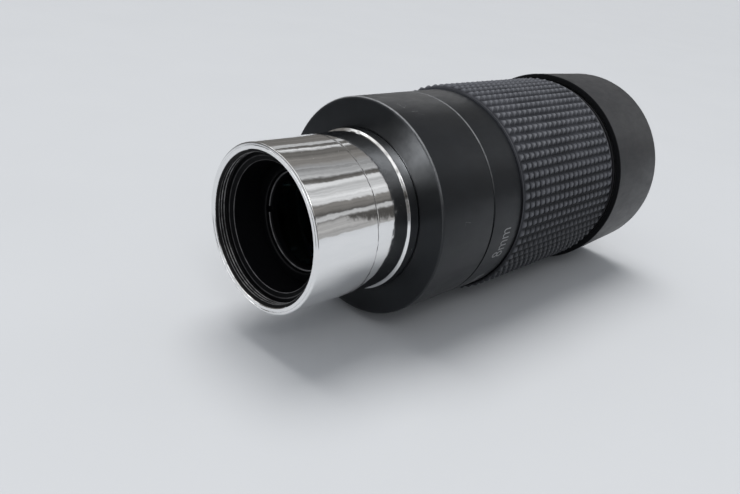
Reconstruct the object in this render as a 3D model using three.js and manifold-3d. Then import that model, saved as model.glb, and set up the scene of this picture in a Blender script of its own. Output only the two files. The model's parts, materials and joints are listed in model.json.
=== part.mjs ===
// Zoom telescope eyepiece with a 1.25 inch nosepiece, millimetres, optical axis along Y.
//
// -Y points out of the nosepiece mouth (front, towards the telescope), +Y towards the eye (rear)
// and +Z is up, so the eyepiece lies on its side. The origin is on the axis, half way along it.
// Places along the axis are distances from the nosepiece mouth, shifted by HALF when built.
// Names ending in _R are radii; pairs in brackets are [front, rear] places.
import * as THREE from "three";
import { mergeVertices } from "three/addons/utils/BufferGeometryUtils.js";
import Module from "manifold-3d";

const wasm = await Module();
wasm.setup();
const { degToRad } = THREE.MathUtils;

// ---------------------------------------------------------------- shared dimensions
const LENGTH = 111.5;            // mouth of the nosepiece to the rim of the eyecup
const HALF = LENGTH / 2;
const OUTER_SEGMENTS = 48;       // facets round the outer shells
const INNER_SEGMENTS = 24;       // facets round the internal pieces
const FIT = 0.1;                 // gap between pieces that sit together
const OVERCUT = 1;               // reach of a slot cutter past each side of a wall

const BODY_FACE = 24.7;          // the shoulder that seats on the focuser
const ROOT_FLOOR = BODY_FACE + 0.5; // recess in the shoulder that the collar drops into
const SPIGOT_R = 15.0;           // rear end of the nosepiece, inside the body
const SPIGOT_END = 29.0;
const BODY_R = 22.3;             // lower body and scale band
const BODY_BORE_R = 20.0;
const BODY_END = 40.2;
const SEAM_BEVEL = 0.15;         // on both edges of the open line behind the body

const RING_FRONT = BODY_END + 0.25;
const RING_END = 87.4;
const RING_SPIGOT_R = 19.75;     // bearing spigots at both ends of the zoom ring
const GRIP_FRONT = 50.0;         // scale band ends, rubber grip starts
const GRIP_SEAT_R = 21.8;

const GUIDE_R = 15.4;            // fixed guide tube with the straight slots
const GUIDE_BORE_R = 13.4;
const GUIDE_END = 95.8;
const CAM_R = 17.4;              // turning cam tube with the helical slots
const CAM_BORE_R = 15.6;
const CAM_FLANGE = [52, 56];
const SCREW_ANGLES = [30, 150, 270];
const SCREW_AT = (CAM_FLANGE[0] + CAM_FLANGE[1]) / 2;
const SCREW_HOLE_R = 1.7;

const HALF_TURN = degToRad(72);  // zoom ring each way from the middle of the scale
const FIELD_LEAD = 4.0;          // mm of travel per radian of zoom ring, front group
const MIDDLE_LEAD = 2.4;         // mm per radian, middle group, opposite way
const FOLLOWER_R = 1.2;
const FOLLOWER_END_R = 17.3;     // outer ends of the followers
const FOLLOWER_HOLE_R = FOLLOWER_R + 0.05;
const SLOT_HALF = FOLLOWER_R + 0.2; // half width of the follower slots
const FIELD_ANGLES = [0, 180];
const MIDDLE_ANGLES = [90, 270];
const FIELD_COLLAR = [36, 44];
const FIELD_FOLLOWER_AT = (FIELD_COLLAR[0] + FIELD_COLLAR[1]) / 2;
const MIDDLE_FOLLOWER_AT = 66;

const HOUSING_END = 104;
const EYECUP_FRONT = 89.4;

// ---------------------------------------------------------------- solids
// welds a geometry by position, drops empty triangles and turns its faces outwards
function weld(source) {
  const bare = source.clone();
  bare.deleteAttribute("normal");
  bare.deleteAttribute("uv");
  const merged = mergeVertices(bare, 1e-4);
  const position = merged.getAttribute("position");
  const corners = merged.index;
  const index = [];
  const corner = [new THREE.Vector3(), new THREE.Vector3(), new THREE.Vector3()];
  let volume = 0;
  for (let i = 0; i < corners.count; i += 3) {
    const triangle = [corners.getX(i), corners.getX(i + 1), corners.getX(i + 2)];
    if (new Set(triangle).size < 3) continue;
    triangle.forEach((vertex, j) => corner[j].fromBufferAttribute(position, vertex));
    volume += corner[0].dot(corner[1].cross(corner[2]));
    index.push(...triangle);
  }
  if (volume < 0) {
    for (let i = 0; i < index.length; i += 3) {
      [index[i], index[i + 1]] = [index[i + 1], index[i]];
    }
  }
  const welded = new THREE.BufferGeometry();
  welded.setAttribute("position", position.clone());
  welded.setIndex(index);
  return welded;
}

function toManifold(geometry) {
  const welded = weld(geometry);
  return new wasm.Manifold(new wasm.Mesh({
    numProp: 3,
    vertProperties: new Float32Array(welded.getAttribute("position").array),
    triVerts: new Uint32Array(welded.index.array),
  }));
}

function fromManifold(solid) {
  const mesh = solid.getMesh();
  const geometry = new THREE.BufferGeometry();
  const positions = new Float32Array(mesh.vertProperties);
  geometry.setAttribute("position", new THREE.BufferAttribute(positions, 3));
  geometry.setIndex(new THREE.BufferAttribute(new Uint32Array(mesh.triVerts), 1));
  return geometry;
}

function cut(geometry, cutters) {
  let solid = toManifold(geometry);
  for (const cutter of cutters) solid = solid.subtract(toManifold(cutter));
  return fromManifold(solid);
}

// a turned piece: profile points are [radius, distance from the mouth];
// a ring's profile closes on itself
function turned(profile, segments = INNER_SEGMENTS) {
  const points = profile.map(([radius, at]) => new THREE.Vector2(radius, at - HALF));
  if (profile[0][0] > 0) points.push(points[0].clone());
  return new THREE.LatheGeometry(points, segments);
}

function tube(outer, inner, from, to) {
  return turned([[outer, from], [outer, to], [inner, to], [inner, from]]);
}

// profile of one spherical lens face, from the axis outwards
function lensFace(vertex, radius, bulge) {
  const steps = 3;
  const curve = (radius * radius + bulge * bulge) / (2 * Math.abs(bulge));
  return Array.from({ length: steps + 1 }, (_, i) => {
    const r = (radius * i) / steps;
    const sag = curve - Math.sqrt(curve * curve - r * r);
    return [r, vertex + Math.sign(bulge) * sag];
  });
}

// front and rear are where the faces cross the axis; a bulge is how far the rim of a face
// lies behind that (towards the eye), negative when it lies in front
function lens({ radius, front, frontBulge, rear, rearBulge }) {
  const rearFace = lensFace(rear, radius, rearBulge).reverse();
  return turned([...lensFace(front, radius, frontBulge), ...rearFace]);
}

// moves a shape built along +X to its angle (degrees from +X towards +Z) and place on the axis
function place(shape, middleRadius, angle, at) {
  shape.translate(middleRadius, 0, 0);
  shape.rotateY(-degToRad(angle));
  shape.translate(0, at - HALF, 0);
  return shape;
}

// radial cylinder between two distances from the axis
function radialPin({ radius, inner, outer, angle, at, segments = 12 }) {
  const pin = new THREE.CylinderGeometry(radius, radius, outer - inner, segments);
  pin.rotateZ(-Math.PI / 2);
  return place(pin, (inner + outer) / 2, angle, at);
}

// block with its sides along the radius, the axis and across
function radialBlock({ inner, outer, from, to, width, angle }) {
  const block = new THREE.BoxGeometry(outer - inner, to - from, width);
  return place(block, (inner + outer) / 2, angle, (from + to) / 2);
}

// straight slot through the guide tube, long along the axis
function straightSlot(angle, at, lead) {
  const travel = HALF_TURN * lead + SLOT_HALF + 0.1;
  return radialBlock({
    inner: GUIDE_BORE_R - OVERCUT, outer: GUIDE_R + OVERCUT,
    from: at - travel, to: at + travel, width: 2 * SLOT_HALF, angle,
  });
}

// helical slot through the cam tube: a block bent round the axis, moving `lead` mm per radian
function helicalSlot(angle, at, lead) {
  const halfArc = HALF_TURN + SLOT_HALF / CAM_BORE_R;
  const halfWidth = SLOT_HALF * Math.hypot(1, lead / CAM_BORE_R) + 0.02;
  const depth = CAM_R - CAM_BORE_R + 2 * OVERCUT;
  const block = new THREE.BoxGeometry(2 * halfArc, 2 * halfWidth, depth, 12, 1, 1);
  const position = block.getAttribute("position");
  for (let i = 0; i < position.count; i++) {
    const turn = position.getX(i);
    const phi = degToRad(angle) + turn;
    const radius = (CAM_BORE_R + CAM_R) / 2 + position.getZ(i);
    const y = at - HALF + lead * turn + position.getY(i);
    position.setXYZ(i, radius * Math.cos(phi), y, radius * Math.sin(phi));
  }
  return block;
}

// two opposite spanner slots across the front or rear face of a ring
function spannerSlots({ angle, ...size }) {
  return [0, 180].map((turn) => radialBlock({ ...size, width: 1.3, angle: angle + turn }));
}

// ---------------------------------------------------------------- materials
const CHROME = { color: 0xd6d8da, roughness: 0.08, metalness: 1 };
const BLACK_METAL = { color: 0x17181a, roughness: 0.38, metalness: 0.6 };
const BAFFLE_BLACK = { color: 0x0b0b0c, roughness: 0.75, metalness: 0.2 };
const RAW_ALUMINIUM = { color: 0xb8babc, roughness: 0.35, metalness: 1 };
const BRASS = { color: 0xb59a55, roughness: 0.35, metalness: 1 };
const STEEL = { color: 0x8a8c8f, roughness: 0.3, metalness: 1 };
const RUBBER = { color: 0x26282b, roughness: 0.8, metalness: 0 };
const SLIP = { color: 0xe8e8e4, roughness: 0.5, metalness: 0 };
const PLASTIC = { color: 0x1c1d1f, roughness: 0.55, metalness: 0 };
const GLASS = {
  color: 0xcfe3e8, roughness: 0.02, metalness: 0, transparent: true, opacity: 0.35,
};

// ---------------------------------------------------------------- groups
const eyepiece = new THREE.Group();
eyepiece.name = "zoom_eyepiece";
const fixed = new THREE.Group();
const turning = new THREE.Group();
const frontCarriage = new THREE.Group();
const middleCarriage = new THREE.Group();
const eyecup = new THREE.Group();
eyepiece.add(fixed, turning, frontCarriage, middleCarriage, eyecup);

function add(group, name, geometry, material) {
  const welded = weld(geometry);
  welded.computeVertexNormals();
  const mesh = new THREE.Mesh(welded, new THREE.MeshStandardMaterial(material));
  mesh.name = name;
  group.add(mesh);
}

// ---------------------------------------------------------------- nosepiece and body
// chrome nosepiece: bevelled mouth, filter thread lead-in, raised collar, rear spigot
const BARREL_R = 1.25 * 25.4 / 2;
const BARREL_EDGE = 0.4;
const MOUTH_R = 14.65;
const THREAD_R = 28.5 / 2;       // M28.5 filter thread, left plain
const COLLAR_R = 16.3;
const COLLAR_FRONT = 21.95;
const COLLAR_END = ROOT_FLOOR - 0.05;
add(fixed, "nosepiece_barrel", turned([
  [MOUTH_R, 0], [BARREL_R - BARREL_EDGE, 0], [BARREL_R, BARREL_EDGE],
  [BARREL_R, COLLAR_FRONT], [COLLAR_R, COLLAR_FRONT + 0.3], [COLLAR_R, COLLAR_END],
  [SPIGOT_R, COLLAR_END], [SPIGOT_R, SPIGOT_END], [THREAD_R, SPIGOT_END], [THREAD_R, 0.4],
], OUTER_SEGMENTS), CHROME);

// black liner: light baffle and running surface of the front carriage
const LINER_FRONT = 2.4;
const LINER_R = 14.15;
const LINER_BORE_R = 12.3;
const LINER_MOUTH_R = 13.2;
add(fixed, "barrel_liner", turned([
  [LINER_R, LINER_FRONT], [LINER_R, SPIGOT_END], [LINER_BORE_R, SPIGOT_END],
  [LINER_BORE_R, LINER_FRONT + 0.5], [LINER_MOUTH_R, LINER_FRONT],
], OUTER_SEGMENTS), BAFFLE_BLACK);

// lower body: flat shoulder in front with a recess round the collar, deep counterbore behind
const ROOT_R = 16.65;
const BODY_EDGE = 0.4;
add(fixed, "body_shell", turned([
  [SPIGOT_R + FIT, ROOT_FLOOR], [ROOT_R, ROOT_FLOOR], [ROOT_R, BODY_FACE],
  [BODY_R - BODY_EDGE, BODY_FACE], [BODY_R, BODY_FACE + BODY_EDGE],
  [BODY_R, BODY_END - SEAM_BEVEL], [BODY_R - SEAM_BEVEL, BODY_END],
  [BODY_BORE_R, BODY_END], [BODY_BORE_R, SPIGOT_END + FIT], [SPIGOT_R + FIT, SPIGOT_END + FIT],
], OUTER_SEGMENTS), BLACK_METAL);

// guide tube: front flange seated in the body, straight slots for the followers
const GUIDE_FLANGE_R = BODY_BORE_R - FIT;
const GUIDE_FLANGE = [29.2, 31.4];
add(fixed, "guide_tube", cut(turned([
  [GUIDE_BORE_R, GUIDE_FLANGE[0]], [GUIDE_FLANGE_R, GUIDE_FLANGE[0]],
  [GUIDE_FLANGE_R, GUIDE_FLANGE[1]], [GUIDE_R, GUIDE_FLANGE[1]],
  [GUIDE_R, GUIDE_END], [GUIDE_BORE_R, GUIDE_END],
]), [
  ...FIELD_ANGLES.map((angle) => straightSlot(angle, FIELD_FOLLOWER_AT, FIELD_LEAD)),
  ...MIDDLE_ANGLES.map((angle) => straightSlot(angle, MIDDLE_FOLLOWER_AT, MIDDLE_LEAD)),
]), RAW_ALUMINIUM);

// rings round the guide tube: lock ring behind its flange, slip rings at the zoom ring's ends
add(fixed, "guide_lock_ring", cut(
  tube(GUIDE_FLANGE_R, 17.8, GUIDE_FLANGE[1] + FIT, 33.6),
  spannerSlots({ angle: 45, inner: 17.0, outer: 18.9, from: 32.8, to: 34.0 }),
), BRASS);
add(fixed, "front_slip_ring", tube(19.5, 17.9, 33.7, 34.5), SLIP);
add(fixed, "rear_slip_ring", tube(21.4, 20.1, 87.46, 87.74), SLIP);

// ---------------------------------------------------------------- eye end
// housing: bearing spigot, flange, web round the guide tube, tube the eyecup runs on
const BEARING_FRONT = 84.5;
const BEARING_BORE_R = RING_SPIGOT_R - 1.8;
const LIP = [87.8, 88.6];        // flange in the gap between the zoom ring and the eyecup
const LIP_R = 21.6;
const WEB = [90, 94];
const HOUSING_R = 20.6;
const HOUSING_BORE_R = 18.85;
const BEAD_R = 21.2;
const BEAD_FRONT = HOUSING_END - 1;
add(fixed, "eye_housing", turned([
  [BEARING_BORE_R, BEARING_FRONT], [RING_SPIGOT_R, BEARING_FRONT], [RING_SPIGOT_R, LIP[0]],
  [LIP_R, LIP[0]], [LIP_R, LIP[1]],
  [HOUSING_R, LIP[1]], [HOUSING_R, BEAD_FRONT - 0.4], [BEAD_R, BEAD_FRONT],
  [BEAD_R, HOUSING_END], [HOUSING_BORE_R, HOUSING_END], [HOUSING_BORE_R, WEB[1]],
  [GUIDE_R + FIT, WEB[1]], [GUIDE_R + FIT, WEB[0]], [BEARING_BORE_R, WEB[0]],
], OUTER_SEGMENTS), BLACK_METAL);

// eye lens cell: front stop, bore for the two eye lenses, dished head closing the housing
const EYE_CELL = { front: 82, seat: 84, radius: 13.3, stopRadius: 11.0 };
const EYE_HEAD = { front: GUIDE_END + FIT, radius: 18.75, edge: 0.4 };
const DISH = { outer: 14.6, inner: 13.0, floor: HOUSING_END - 0.9 };
const EYE_LENS_R = 11.9;
const EYE_BORE_R = EYE_LENS_R + FIT;
add(fixed, "eye_cell", turned([
  [EYE_CELL.stopRadius, EYE_CELL.front], [EYE_CELL.radius, EYE_CELL.front],
  [EYE_CELL.radius, EYE_HEAD.front], [EYE_HEAD.radius, EYE_HEAD.front],
  [EYE_HEAD.radius, HOUSING_END - EYE_HEAD.edge], [EYE_HEAD.radius - EYE_HEAD.edge, HOUSING_END],
  [DISH.outer, HOUSING_END], [DISH.inner, DISH.floor], [EYE_BORE_R, DISH.floor],
  [EYE_BORE_R, EYE_CELL.seat], [EYE_CELL.stopRadius, EYE_CELL.seat],
]), BAFFLE_BLACK);
add(fixed, "eye_lens_front", lens({
  radius: EYE_LENS_R, front: 82.5, frontBulge: 1.9, rear: 90.7, rearBulge: -2.6,
}), GLASS);
add(fixed, "eye_lens_spacer", tube(EYE_LENS_R, 11.1, 88.7, 95.5), BAFFLE_BLACK);
add(fixed, "eye_lens_rear", lens({
  radius: EYE_LENS_R, front: 93.6, frontBulge: 2.4, rear: 100.6, rearBulge: -0.6,
}), GLASS);
const EYE_RETAINER = [100.25, 102.6];
add(fixed, "eye_retaining_ring", cut(turned([
  [EYE_LENS_R, EYE_RETAINER[0]], [EYE_LENS_R, EYE_RETAINER[1]], [11.3, EYE_RETAINER[1]],
  [10.7, 102.1], [10.7, 100.8], [11.0, EYE_RETAINER[0]],
]), spannerSlots({ angle: 20, inner: 10.2, outer: 12.4, from: 101.7, to: 103.2 })), BAFFLE_BLACK);

// ---------------------------------------------------------------- turning pieces
const screwHoles = (inner, outer) => SCREW_ANGLES.map((angle) =>
  radialPin({ radius: SCREW_HOLE_R, inner, outer, angle, at: SCREW_AT }));

// zoom ring: bearing spigot inside the body, scale band, long seat for the rubber grip
const RING_SPIGOT_FRONT = 34.6;
const RING_SPIGOT_BORE_R = 18.0;
const RING_BORE_R = 20.0;
const RING_BORE_FRONT = RING_FRONT + 1.4;
const BAND_END = GRIP_FRONT - 0.05;
add(turning, "zoom_ring", cut(turned([
  [RING_SPIGOT_BORE_R, RING_SPIGOT_FRONT], [RING_SPIGOT_R, RING_SPIGOT_FRONT],
  [RING_SPIGOT_R, RING_FRONT], [BODY_R - SEAM_BEVEL, RING_FRONT],
  [BODY_R, RING_FRONT + SEAM_BEVEL], [BODY_R, BAND_END], [GRIP_SEAT_R, BAND_END],
  [GRIP_SEAT_R, RING_END], [RING_BORE_R, RING_END], [RING_BORE_R, RING_BORE_FRONT],
  [RING_SPIGOT_BORE_R, RING_BORE_FRONT],
], OUTER_SEGMENTS), screwHoles(17, 24)), BLACK_METAL);

// rubber grip: plain sleeve with a low margin at each end
const GRIP_END = 87.2;
const GRIP_BORE_R = GRIP_SEAT_R + 0.05;
const GRIP_EDGE_R = 23.15;
const GRIP_R = 23.35;
add(turning, "rubber_grip", turned([
  [GRIP_BORE_R, GRIP_FRONT], [GRIP_EDGE_R, GRIP_FRONT],
  [GRIP_EDGE_R, GRIP_FRONT + 0.6], [GRIP_R, GRIP_FRONT + 0.8],
  [GRIP_R, GRIP_END - 0.8], [GRIP_EDGE_R, GRIP_END - 0.6],
  [GRIP_EDGE_R, GRIP_END], [GRIP_BORE_R, GRIP_END],
], OUTER_SEGMENTS), RUBBER);

// cam tube: flange held in the zoom ring by three grub screws, two pairs of helical slots
const CAM_FRONT = 32.2;
const CAM_END = 83.5;
const CAM_FLANGE_R = 19.85;
add(turning, "cam_tube", cut(turned([
  [CAM_BORE_R, CAM_FRONT], [CAM_R, CAM_FRONT],
  [CAM_R, CAM_FLANGE[0]], [CAM_FLANGE_R, CAM_FLANGE[0]],
  [CAM_FLANGE_R, CAM_FLANGE[1]], [CAM_R, CAM_FLANGE[1]],
  [CAM_R, CAM_END], [CAM_BORE_R, CAM_END],
]), [
  ...FIELD_ANGLES.map((angle) => helicalSlot(angle, FIELD_FOLLOWER_AT, -FIELD_LEAD)),
  ...MIDDLE_ANGLES.map((angle) => helicalSlot(angle, MIDDLE_FOLLOWER_AT, MIDDLE_LEAD)),
  ...screwHoles(18.3, 21),
]), RAW_ALUMINIUM);

// grub screws with a hexagon socket in the outer end
SCREW_ANGLES.forEach((angle, i) => {
  const shank = radialPin({ radius: 1.5, inner: 18.4, outer: 21.6, angle, at: SCREW_AT });
  const socket = radialPin({
    radius: 0.75, inner: 20.4, outer: 22, angle, at: SCREW_AT, segments: 6,
  });
  add(turning, `cam_screw_${i + 1}`, cut(shank, [socket]), STEEL);
});

// ---------------------------------------------------------------- carriages
const followerHoles = (angles, inner, at) => angles.map((angle) =>
  radialPin({ radius: FOLLOWER_HOLE_R, inner, outer: 15, angle, at }));

function addFollowers(group, name, angles, inner, at) {
  angles.forEach((angle, i) => add(group, `${name}_${i + 1}`,
    radialPin({ radius: FOLLOWER_R, inner, outer: FOLLOWER_END_R, angle, at }), STEEL));
}

// front carriage, a long cell: lens seat in front, collar with the followers behind
const FIELD_FRONT = 8.75;        // in the middle of the scale
const FIELD_CELL_R = 12.1;
const FIELD_COLLAR_R = 13.2;
const FIELD_LENS_R = 10.0;
const FIELD_OPENING_R = FIELD_LENS_R + FIT;
const FIELD_REAR_BORE_R = 10.8;
const FIELD_SEAT = [17.6, 19];
const FIELD_SEAT_R = 9.3;
add(frontCarriage, "field_cell", cut(turned([
  [FIELD_OPENING_R + 0.15, FIELD_FRONT], [FIELD_CELL_R - 0.2, FIELD_FRONT],
  [FIELD_CELL_R, FIELD_FRONT + 0.2], [FIELD_CELL_R, FIELD_COLLAR[0]],
  [FIELD_COLLAR_R, FIELD_COLLAR[0]], [FIELD_COLLAR_R, FIELD_COLLAR[1]],
  [FIELD_REAR_BORE_R, FIELD_COLLAR[1]], [FIELD_REAR_BORE_R, FIELD_SEAT[1]],
  [FIELD_SEAT_R, FIELD_SEAT[1]], [FIELD_SEAT_R, FIELD_SEAT[0]],
  [FIELD_OPENING_R, FIELD_SEAT[0]], [FIELD_OPENING_R, FIELD_FRONT + 0.15],
]), followerHoles(FIELD_ANGLES, 9, FIELD_FOLLOWER_AT)), BAFFLE_BLACK);
add(frontCarriage, "field_retaining_ring", cut(turned([
  [FIELD_LENS_R, 9.4], [FIELD_LENS_R, 11.2], [9.3, 11.2], [9.3, 9.7], [9.6, 9.4],
]), spannerSlots({ angle: 185.6, inner: 8.9, outer: 10.6, from: 9.0, to: 10.2 })), BAFFLE_BLACK);
add(frontCarriage, "field_lens_negative", lens({
  radius: FIELD_LENS_R, front: 12.6, frontBulge: -1.3, rear: 14.0, rearBulge: 1.1,
}), GLASS);
add(frontCarriage, "field_lens_positive", lens({
  radius: FIELD_LENS_R, front: 14.05, frontBulge: 1.1, rear: 17.3, rearBulge: 0.2,
}), GLASS);
addFollowers(frontCarriage, "field_follower", FIELD_ANGLES, 11.4, FIELD_FOLLOWER_AT);

// middle carriage: short cell with a front lip, field stop and two lenses
const MIDDLE_FRONT = 60;
const MIDDLE_SEAT = MIDDLE_FRONT + 1;
const MIDDLE_END = 74;
const MIDDLE_CELL_R = 13.2;
const MIDDLE_OPENING_R = 10.4;
const MIDDLE_LENS_R = 11.5;
const MIDDLE_BORE_R = MIDDLE_LENS_R + FIT;
const STOP_FRONT = MIDDLE_SEAT + FIT;
add(middleCarriage, "middle_cell", cut(turned([
  [MIDDLE_OPENING_R, MIDDLE_FRONT], [MIDDLE_CELL_R, MIDDLE_FRONT], [MIDDLE_CELL_R, MIDDLE_END],
  [MIDDLE_BORE_R, MIDDLE_END], [MIDDLE_BORE_R, MIDDLE_SEAT], [MIDDLE_OPENING_R, MIDDLE_SEAT],
]), followerHoles(MIDDLE_ANGLES, 10, MIDDLE_FOLLOWER_AT)), BAFFLE_BLACK);
add(middleCarriage, "field_stop", turned([
  [MIDDLE_LENS_R, STOP_FRONT], [MIDDLE_LENS_R, 63.8], [10.9, 63.8], [10.9, 62.1],
  [8.8, 62.1], [8.2, 61.6], [8.2, STOP_FRONT],
]), BAFFLE_BLACK);
add(middleCarriage, "middle_lens_front", lens({
  radius: MIDDLE_LENS_R, front: 62.6, frontBulge: 1.5, rear: 67.6, rearBulge: -2.0,
}), GLASS);
add(middleCarriage, "middle_lens_rear", lens({
  radius: MIDDLE_LENS_R, front: 67.65, frontBulge: -2.0, rear: 69.4, rearBulge: 0.4,
}), GLASS);
add(middleCarriage, "middle_retaining_ring", cut(
  tube(MIDDLE_LENS_R, 10.6, 70.0, 72.4),
  spannerSlots({ angle: 0, inner: 10.0, outer: 12.2, from: 71.6, to: 73.0 }),
), BAFFLE_BLACK);
addFollowers(middleCarriage, "middle_follower", MIDDLE_ANGLES, 11.65, MIDDLE_FOLLOWER_AT);

// ---------------------------------------------------------------- eyecup
// soft outer sleeve, slightly tapered, turned in to a dished rim
const CUP_FRONT_R = 24.2;
const CUP_REAR_R = 23.45;
const CUP_BORE_R = 22.45;
const CUP_OPENING_R = 15.0;
const CUP_FLOOR = LENGTH - 3.3;  // front side of the rim
add(eyecup, "eyecup_rubber", turned([
  [CUP_BORE_R, EYECUP_FRONT], [CUP_FRONT_R - 0.25, EYECUP_FRONT],
  [CUP_FRONT_R, EYECUP_FRONT + 0.25], [CUP_REAR_R, LENGTH - 1.7],
  [CUP_REAR_R - 0.5, LENGTH - 0.5], [CUP_REAR_R - 1.7, LENGTH], [17.6, LENGTH],
  [CUP_OPENING_R, LENGTH - 2.2], [CUP_OPENING_R, CUP_FLOOR], [CUP_BORE_R, CUP_FLOOR],
], OUTER_SEGMENTS), RUBBER);

// plastic carrier: front lip stops against the housing's bead when the cup is raised
const CARRIER = [EYECUP_FRONT + FIT, CUP_FLOOR - FIT];
const CARRIER_R = 22.4;
const CARRIER_BORE_R = 21.4;
const CARRIER_LIP_R = 20.8;
const CARRIER_LIP_END = 92.4;
add(eyecup, "eyecup_carrier", turned([
  [CARRIER_LIP_R, CARRIER[0]], [CARRIER_R, CARRIER[0]], [CARRIER_R, CARRIER[1]],
  [CARRIER_BORE_R, CARRIER[1]], [CARRIER_BORE_R, CARRIER_LIP_END],
  [CARRIER_LIP_R, CARRIER_LIP_END],
], OUTER_SEGMENTS), PLASTIC);

export default eyepiece;
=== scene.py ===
"""An 8 to 24 mm zoom eyepiece lying along Y on a pale floor, +Z up.

The mouth of the chrome nosepiece faces -Y (the front), the eyecup faces +Y (the rear).
Pieces are drawn in mm: r is the radius about the Y axis, u the length from the mouth,
phi the angle about the axis, 0 at +X and growing towards +Z.
"""
import bpy
import bmesh
import json
import math
import numpy as np
from mathutils import Vector, Matrix


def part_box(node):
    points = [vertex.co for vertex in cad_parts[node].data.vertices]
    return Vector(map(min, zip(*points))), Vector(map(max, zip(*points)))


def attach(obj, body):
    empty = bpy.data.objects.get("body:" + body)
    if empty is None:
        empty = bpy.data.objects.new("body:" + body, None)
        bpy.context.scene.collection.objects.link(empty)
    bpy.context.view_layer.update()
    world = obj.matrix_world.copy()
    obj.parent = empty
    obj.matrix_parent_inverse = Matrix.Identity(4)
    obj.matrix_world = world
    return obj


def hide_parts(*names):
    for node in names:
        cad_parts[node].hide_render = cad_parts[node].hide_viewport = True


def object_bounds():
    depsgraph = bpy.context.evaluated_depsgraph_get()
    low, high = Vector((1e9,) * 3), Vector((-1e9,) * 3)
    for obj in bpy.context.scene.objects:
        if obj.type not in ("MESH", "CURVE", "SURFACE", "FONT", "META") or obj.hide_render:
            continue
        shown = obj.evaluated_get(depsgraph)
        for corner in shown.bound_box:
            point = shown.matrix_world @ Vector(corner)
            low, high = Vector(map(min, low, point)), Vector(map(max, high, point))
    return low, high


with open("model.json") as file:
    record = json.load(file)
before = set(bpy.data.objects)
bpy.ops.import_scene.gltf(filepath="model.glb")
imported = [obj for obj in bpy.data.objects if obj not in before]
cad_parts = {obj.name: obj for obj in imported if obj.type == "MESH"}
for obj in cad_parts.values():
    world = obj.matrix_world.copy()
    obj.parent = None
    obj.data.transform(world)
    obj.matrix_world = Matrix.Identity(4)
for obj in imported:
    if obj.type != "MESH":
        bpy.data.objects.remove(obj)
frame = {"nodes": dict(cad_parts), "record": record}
nodes = frame["nodes"]
cad_low, cad_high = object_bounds()
MM = 0.001
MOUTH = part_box("nosepiece_barrel")[0].y          # y of the nosepiece mouth, metres
MOUTH_MM = MOUTH * 1000


def span(node):
    """(start, end, outer radius) of a node in mm; lengths from the nosepiece mouth."""
    low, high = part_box(node)
    return (low.y - MOUTH) * 1000, (high.y - MOUTH) * 1000, high.x * 1000


# ------------------------------------------------------------------ driving sizes, mm
body_start, body_end, body_radius = span("body_shell")
grip_start, grip_end, grip_radius = span("rubber_grip")
cup_start, cup_end, cup_radius = span("eyecup_rubber")
cell_start, cell_end, _ = span("field_cell")
field_ring_start, field_ring_end, field_ring_radius = span("field_retaining_ring")

ZOOM_GAP = 0.25                     # seam between the lower body and the zoom ring
zoom_front = body_end + ZOOM_GAP
BORE_RADIUS = 14.25                 # nosepiece bore, which carries the filter thread
TUBE_RADIUS = 15.875                # nosepiece outside
COLLAR_U = 21.95                    # where the nosepiece widens to its collar
THREAD_PITCH = 0.6
MARK_RADIUS = 22.3                  # radius on which the body's scuffs are laid out
SCALE_FIRST, SCALE_STEP = -10, -36  # degrees: first zoom mark and the step to the next


# ------------------------------------------------------------------ shader helpers
class Signal:
    """An output of a shader node; arithmetic on it adds Math nodes."""

    def __init__(self, tree, socket):
        self.tree = tree
        self.socket = socket

    def __add__(self, other):
        return math_node(self.tree, "ADD", self, other)

    def __sub__(self, other):
        return math_node(self.tree, "SUBTRACT", self, other)

    def __rsub__(self, other):
        return math_node(self.tree, "SUBTRACT", other, self)

    def __mul__(self, other):
        return math_node(self.tree, "MULTIPLY", self, other)

    def __truediv__(self, other):
        return math_node(self.tree, "DIVIDE", self, other)

    def __abs__(self):
        return math_node(self.tree, "ABSOLUTE", self)

    def fit(self, over, to=(0.0, 1.0)):
        """maps the range `over` linearly onto `to`, held constant outside it"""
        return signal(self.tree, "MapRange", dict(enumerate((self, *over, *to))))


def add_node(tree, kind, inputs, **settings):
    """inputs are Signals, numbers or RGB tuples, keyed by socket name or index"""
    node = tree.nodes.new("ShaderNode" + kind)
    for key, value in settings.items():
        setattr(node, key, value)
    for key, value in inputs.items():
        if isinstance(value, Signal):
            tree.links.new(value.socket, node.inputs[key])
        elif isinstance(value, tuple):
            node.inputs[key].default_value = (*value, 1.0)
        else:
            node.inputs[key].default_value = value
    return node


def signal(tree, kind, inputs, output=0, **settings):
    return Signal(tree, add_node(tree, kind, inputs, **settings).outputs[output])


def math_node(tree, operation, *operands, clamp=False):
    return signal(tree, "Math", dict(enumerate(operands)), operation=operation, use_clamp=clamp)


def maximum(a, b):
    return math_node(a.tree, "MAXIMUM", a, b)


def arctan2(a, b):
    return math_node(a.tree, "ARCTAN2", a, b)


def distance(a, b):
    return math_node(a.tree, "SQRT", a * a + b * b)


def split(vector):
    node = add_node(vector.tree, "SeparateXYZ", {0: vector})
    return [Signal(vector.tree, socket) for socket in node.outputs]


def combine(x, y, z):
    return signal(x.tree, "CombineXYZ", {0: x, 1: y, 2: z})


def scaled(vector, factor):
    return signal(vector.tree, "VectorMath", {0: vector, "Scale": factor}, operation="SCALE")


def noise(vector, scale, detail=3.0, rough=0.5):
    return signal(vector.tree, "TexNoise",
                  {"Scale": scale, "Detail": detail, "Roughness": rough, "Vector": vector}, "Fac")


def mix(amount, a, b):
    """colour a where amount is 0, colour b where it is 1"""
    return signal(amount.tree, "Mix", {0: amount, 6: a, 7: b}, output=2, data_type="RGBA")


def add_light(a, level):
    """colour a with a grey level added"""
    grey = combine(level, level, level)
    return signal(a.tree, "Mix", {0: 1.0, 6: a, 7: grey}, output=2,
                  data_type="RGBA", blend_type="ADD")


def mix_shader(amount, a, b):
    return signal(amount.tree, "MixShader", {0: amount, 1: a, 2: b})


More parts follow.
